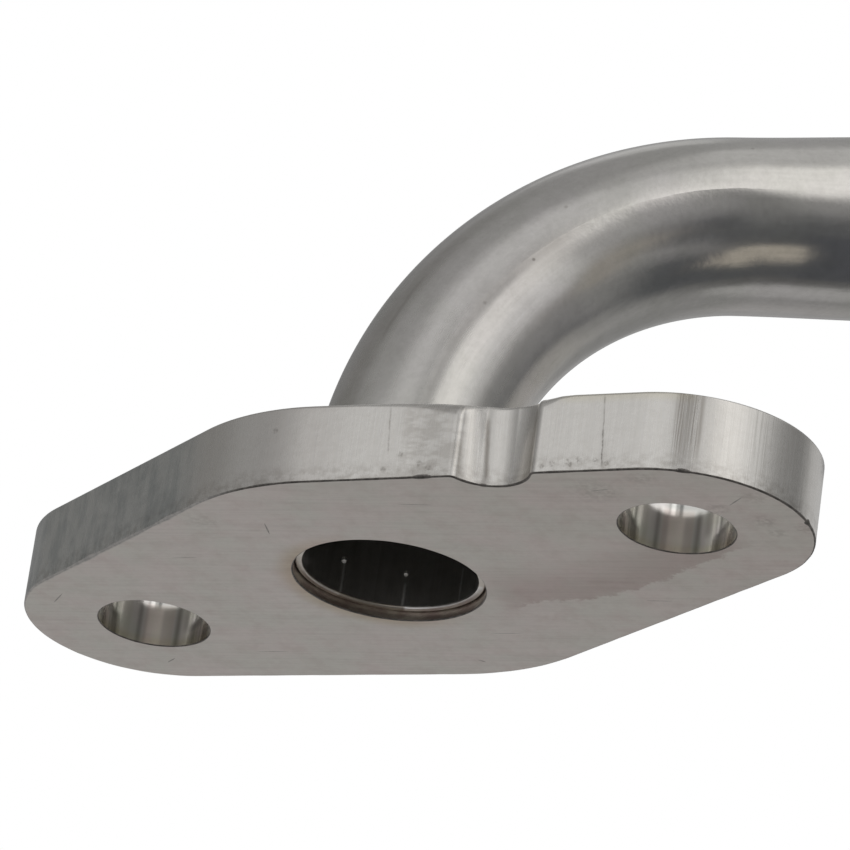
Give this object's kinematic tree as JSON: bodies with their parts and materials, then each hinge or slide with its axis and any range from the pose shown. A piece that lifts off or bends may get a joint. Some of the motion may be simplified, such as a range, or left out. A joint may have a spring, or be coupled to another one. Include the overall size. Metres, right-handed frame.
{
  "type": "egr pipe",
  "caption": "Bent stainless exhaust gas recirculation pipe welded into a thick, rounded bolt-on flange with a clearance notch in one edge; its other end is open.",
  "frame": {"origin": "centre of the gas port on the flange's mating face", "axes": "+Z along the port's axis from the mating face into the tube; +X along the bolt line towards the bolt hole that lies further from the port; the edge with the notch is on -Y"},
  "size_m": [0.0998, 0.0852, 0.065],
  "materials": {
    "flange_plate": "ground faces, cut edges with fine upright striations, bare stainless",
    "tube_metal": "satin, brushed along its length, bare stainless",
    "weld_metal": "rippled weld filler with straw and brown heat tint"
  },
  "bodies": {
    "root": {"flange": "flange_plate", "tube": "tube_metal", "weld_bead": "weld_metal"}
  },
  "joints": []
}
